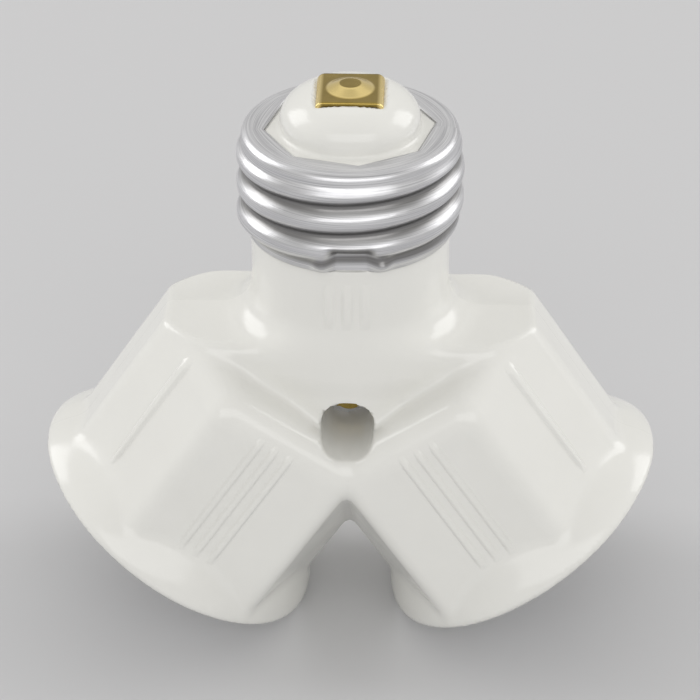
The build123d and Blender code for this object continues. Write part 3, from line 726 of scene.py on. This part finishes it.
def strap_points():
    """Strap: a rounded flat section carried along the bent line, wide on the nose and narrow on the legs,
    with the button's cone added to the height of the plate's points by their distance from the middle."""
    line, along = strap_line()
    half = np.where(line[:, 1] > PLATE_Z - STAPLE_L, STRAP_W / 2, LEG_W / 2)[:, None]
    flat = np.linspace(-1, 1, STRAP_ACROSS)
    round_off = np.linspace(-pi / 2, pi / 2, EDGE_STEPS)[1:-1]
    side = np.concatenate([flat, 1 + 0 * round_off, flat[::-1], -1 + 0 * round_off])
    bulge = np.concatenate([0 * flat - 1, np.cos(round_off) - 1, 0 * flat - 1, np.cos(round_off) - 1])
    height = np.concatenate([0 * flat + 1, -np.sin(round_off), 0 * flat - 1, np.sin(round_off)])
    across = side * (half + STRAP_EDGE_R * bulge)
    up = np.stack([-along[:, 1], along[:, 0]], axis=1)
    spot = line[:, None, :] + STRAP / 2 * height[None, :, None] * up[:, None, :]
    points = np.stack([spot[..., 0], across, spot[..., 1]], axis=-1)
    from_middle = np.hypot(points[..., 0], points[..., 1])
    cone = soft_ramp((BUTTON_R - from_middle) / (BUTTON_R - BUTTON_TOP_R), BUTTON_SOFT)
    on_plate = (np.abs(line[:, 1] - PLATE_MIDDLE) < STRAP / 4)[:, None]
    points[..., 2] += np.where(on_plate & (from_middle < BUTTON_R + STRAP), BUTTON_RISE * cone, 0)
    return points


def rolled_brass():
    """Yellow strip brass: rolled streaks along the strap, cloudy gloss, a painted dark reflection in mottled
    brown, and a painted highlight in bright brass on the cone's side and the bends over the nose."""
    material, tree, shader = new_finish("rolled_brass", Metallic=1.0)
    place = add_node(tree, "ShaderNodeTexCoord").outputs["Object"]
    streak = add_node(tree, "ShaderNodeGroup", {
        "Place": place, "Fineness": (150.0, 7000.0, 150.0),
    }, node_tree=rolled_streaks).outputs["Streak"]
    marks = add_node(tree, "ShaderNodeGroup", {
        "Place": place, "Patch Scale": 500.0, "Glossy": 0.16, "Dull": 0.3,
    }, node_tree=handling_marks)
    split = add_node(tree, "ShaderNodeSeparateXYZ", {"Vector": place}).outputs
    flat = add_node(tree, "ShaderNodeCombineXYZ", {"X": split["X"], "Y": split["Y"]}).outputs["Vector"]
    out = add_node(tree, "ShaderNodeVectorMath", {0: flat}, operation="LENGTH").outputs["Value"]
    off = add_node(tree, "ShaderNodeMath", {0: split["X"]}, operation="ABSOLUTE").outputs["Value"]
    # Painted highlight: bright brass on the cone's side and the bends; elsewhere a painted dark reflection in
    # brown.
    top, foot, bend = (
        add_node(tree, "ShaderNodeMapRange", {
            "Value": value, "From Min": low * MM, "From Max": high * MM, "To Min": 0.0, "To Max": 1.0,
        }).outputs["Result"]
        for value, (low, high) in ((out, HIGHLIGHT_TOP), (out, HIGHLIGHT_FOOT), (off, HIGHLIGHT_BEND))
    )
    cone = add_node(tree, "ShaderNodeMath", {0: top, 1: foot}, operation="MULTIPLY").outputs["Value"]
    painted_highlight = add_node(tree, "ShaderNodeMath", {0: cone, 1: bend}, operation="MAXIMUM").outputs["Value"]
    dark = add_node(tree, "ShaderNodeMix", {
        "Factor": marks.outputs["Cloud"], "A": SHADED_BRASS_DARK, "B": SHADED_BRASS_LIGHT,
    }, data_type="RGBA").outputs["Result"]
    tint = add_node(tree, "ShaderNodeMix", {
        "Factor": painted_highlight, "A": dark, "B": HIGHLIT_BRASS,
    }, data_type="RGBA")
    bump = add_node(tree, "ShaderNodeBump", {"Height": streak, "Strength": 0.2, "Distance": 0.00002})
    tree.links.new(tint.outputs["Result"], shader.inputs["Base Color"])
    tree.links.new(marks.outputs["Roughness"], shader.inputs["Roughness"])
    tree.links.new(bump.outputs["Normal"], shader.inputs["Normal"])
    return material


brass = rolled_brass()
strap = strap_points()
strap_faces = outwards(strap.reshape(-1, 3), tube_faces(*strap.shape[:2]))
new_piece("tip_strap", strap.reshape(-1, 3), strap_faces, brass, "tip_contact")

# Link and rivet: brass strip and a brass rivet at the bottom of the cross hole, which join both cups to the
# base. They show only as a glint in the hole, so their solids are kept and take the strap's finish.
for node in ("shell_link", "shell_rivet"):
    frame["nodes"][node].data.materials.clear()
    frame["nodes"][node].data.materials.append(brass)

# Base screw shell: aluminium sheet rolled to the lamp thread, with its end turned in round an octagon
# opening. It is pushed over the neck from the nose end and held by a stake, where its lower edge is
# punched flat.
RIM_R, RIM_INSET = 1.0, 0.6
CREST_Z, CREST_TURN = SHELL_H - 3.2, pi
STAKE_FLAT, STAKE_SHIFT, STAKE_EASE = 3.4, 0.5, 1.7
STAKE_SOFT, STAKE_BUMP, CHORD_LEAST = 0.2, 0.7, 0.2
BASE_AROUND, WALL_ROWS, RIM_ROWS, END_ROWS = 360, 130, 10, 8
BORE_BREAK, BORE_DEPTHS = 0.04, (0.06, 0.15, 0.25)
ROLL_WAVE_H, ROLL_LOBES, ROLL_PHASE = 0.03, (3, 5), 1.3
ROLL_BEAT, ROLL_TWIST = 0.9, 0.4


def bell(t, half):
    """Bump: one in the middle, falling as a raised cosine to nothing at half either side."""
    return 0.5 + 0.5 * np.cos(pi * np.clip(t / half, -1, 1))


def base_rows():
    """Section of the base shell: up the thread, over the rim, in to the octagon, and back down inside."""
    turns = np.linspace(0, 2 * pi, BASE_AROUND, endpoint=False)[None, :]
    rim_low = SHELL_H - RIM_R
    rim_r, edge_r = CREST_R - RIM_INSET, CREST_R - EDGE_INSET
    opening = octagon(turns, OCTAGON_R)
    up = np.linspace(0, rim_low, WALL_ROWS)[:, None]
    broad, twisted = ROLL_LOBES[0] * turns + ROLL_PHASE, ROLL_LOBES[1] * turns + ROLL_TWIST * up
    wave = ROLL_WAVE_H * np.sin(broad) * np.sin(ROLL_BEAT * up) * np.sin(twisted)
    wall, deep = rolled_thread(
        turns, up, CREST_R - THREAD_DEPTH / 2, edge_r, rim_r, 0, rim_low, CREST_Z, CREST_TURN
    )
    wall, step_shade = staked(wall + wave * stretch(up, 0, rim_low, RUNOUT), turns, up)
    # The stake's painted shade joins the thread's depth, which darkens the colour as painted shade.
    deep = np.maximum(deep, step_shade)
    arc = np.linspace(0, pi / 2, RIM_ROWS)[1:, None]
    in_rows = np.linspace(0, 1, END_ROWS)[1:, None]
    bore_z = np.array([*BORE_DEPTHS, SHEET])[:, None]
    flat_r = rim_r - RIM_R
    end = [
        flat_r + RIM_R * np.cos(arc) + 0 * turns, flat_r + (opening + BORE_BREAK - flat_r) * in_rows,
        opening + 0 * bore_z, flat_r + (opening - flat_r) * in_rows[-2::-1],
        flat_r + (RIM_R - SHEET) * np.cos(arc[::-1]) + 0 * turns,
    ]
    along = np.concatenate([
        up, rim_low + RIM_R * np.sin(arc), SHELL_H + 0 * in_rows, SHELL_H - bore_z,
        SHELL_H - SHEET + 0 * in_rows[-2::-1], rim_low + (RIM_R - SHEET) * np.sin(arc[::-1]), up[::-2],
    ])
    radius = np.concatenate([wall, *end, wall[::-2] - SHEET])
    return radius, along, np.concatenate([deep, *(0 * rows for rows in end), deep[::-2]])


def staked(wall, turns, up):
    """Stake: at the front of the lower edge the wall's radius is held to a chord. What stands over the chord
    is taken off by a hyperbola, and the hold eases off above and to both sides. The metal pushed aside stands
    up as a bump at each end. Also a share of painted shade along the step above it, 0 to 1."""
    over = wall - STAKE_Y / np.maximum(-np.sin(turns), CHORD_LEAST)
    give = 0.5 * (over + np.sqrt(over * over + STAKE_SOFT**2))
    half = STAKE_FLAT / 2 + STAKE_EASE
    front, across = np.sin(turns) < 0, wall * np.cos(turns) - STAKE_SHIFT
    held = stretch(across, -half, half, STAKE_EASE) * front
    beside = bell(np.abs(across) - half, STAKE_EASE) * front
    pushed = STAKE_BUMP * beside * bell(up - STAKE_H / 3, STAKE_H / 2)
    # Painted shade along the step above the punched flat.
    step_shade = held * bell(up - STAKE_H, STAKE_EASE)
    pressed = give * held * stretch(up, -STAKE_H, STAKE_H + STAKE_EASE / 2, STAKE_EASE)
    return wall - pressed + pushed, step_shade


turned_piece(
    "base_shell", *base_rows(), lambda points: points, aluminium, "base_screw_shell", "shell_aluminium"
)

# Floor: a plain pale sheet under the sockets' rims, wide enough to fill the view.
# It is not part of the object.
FLOOR_HALF, FLOOR_GREY = 3.0, (0.60, 0.60, 0.61, 1)
floor_z = body_points[:, 2].min() * MM
floor_mesh = bpy.data.meshes.new("floor")
floor_mesh.from_pydata(
    [(-FLOOR_HALF, -FLOOR_HALF, floor_z), (FLOOR_HALF, -FLOOR_HALF, floor_z),
     (FLOOR_HALF, FLOOR_HALF, floor_z), (-FLOOR_HALF, FLOOR_HALF, floor_z)], [], [(0, 1, 2, 3)],
)
floor_finish, _, floor_shader = new_finish("pale_floor", Roughness=0.6)
floor_shader.inputs["Base Color"].default_value = FLOOR_GREY
floor_mesh.materials.append(floor_finish)
floor = bpy.data.objects.new("floor", floor_mesh)
bpy.context.scene.collection.objects.link(floor)

# Studio light: broad soft boxes in front above, at both sides and behind, in an evenly lit pale room.
# The left one is a little the stronger, as in the photograph.
LIGHT_AIM = Vector((0, 0, -0.015))
ROOM_WHITE, ROOM_STRENGTH = (1.0, 0.99, 0.97, 1), 0.6


def soft_box(name, place, wide, high, watts):
    """Area light at a place, facing the object."""
    lamp = bpy.data.lights.new(name, "AREA")
    lamp.shape = "RECTANGLE"
    lamp.size, lamp.size_y = wide, high
    lamp.energy = watts
    box = bpy.data.objects.new(name, lamp)
    box.location = place
    box.rotation_mode = "QUATERNION"
    box.rotation_quaternion = (LIGHT_AIM - Vector(place)).to_track_quat("-Z", "Y")
    bpy.context.scene.collection.objects.link(box)


soft_box("front_top", (0.05, -0.75, 0.42), 1.2, 0.5, 2.6)
soft_box("left", (-0.75, 0.3, 0.42), 0.5, 0.6, 2.6)
soft_box("right", (0.75, 0.3, 0.38), 0.5, 0.6, 2.3)
soft_box("behind", (0.0, 0.5, 0.7), 0.8, 0.5, 0.3)
world = bpy.data.worlds.new("room")
world.use_nodes = True
world.node_tree.nodes["Background"].inputs["Color"].default_value = ROOM_WHITE
world.node_tree.nodes["Background"].inputs["Strength"].default_value = ROOM_STRENGTH
bpy.context.scene.world = world
bpy.context.scene.view_settings.view_transform = "Standard"

# Camera: the photograph's long lens, looking down on the front and a little from the right.
# Its place was fitted to the thread, the neck and the flanges.
CAMERA_TURN, CAMERA_RISE, CAMERA_REACH = radians(1.71), radians(31.32), 0.35674
AIM_X, AIM_Z = -0.04, -8.28 - AXES_DROP
CAMERA_AIM = Vector((AIM_X * MM, 0, AIM_Z * MM))
LENS, SENSOR = 154.3, 36.0
camera_data = bpy.data.cameras.new("camera")
camera_data.lens = LENS
camera_data.sensor_width = SENSOR
camera_data.clip_start = 0.01
camera = bpy.data.objects.new("camera", camera_data)
back = Vector((sin(CAMERA_TURN) * cos(CAMERA_RISE), -cos(CAMERA_TURN) * cos(CAMERA_RISE), sin(CAMERA_RISE)))
camera.location = CAMERA_AIM + back * CAMERA_REACH
camera.rotation_mode = "QUATERNION"
camera.rotation_quaternion = (-back).to_track_quat("-Z", "Y")
bpy.context.scene.collection.objects.link(camera)
bpy.context.scene.camera = camera
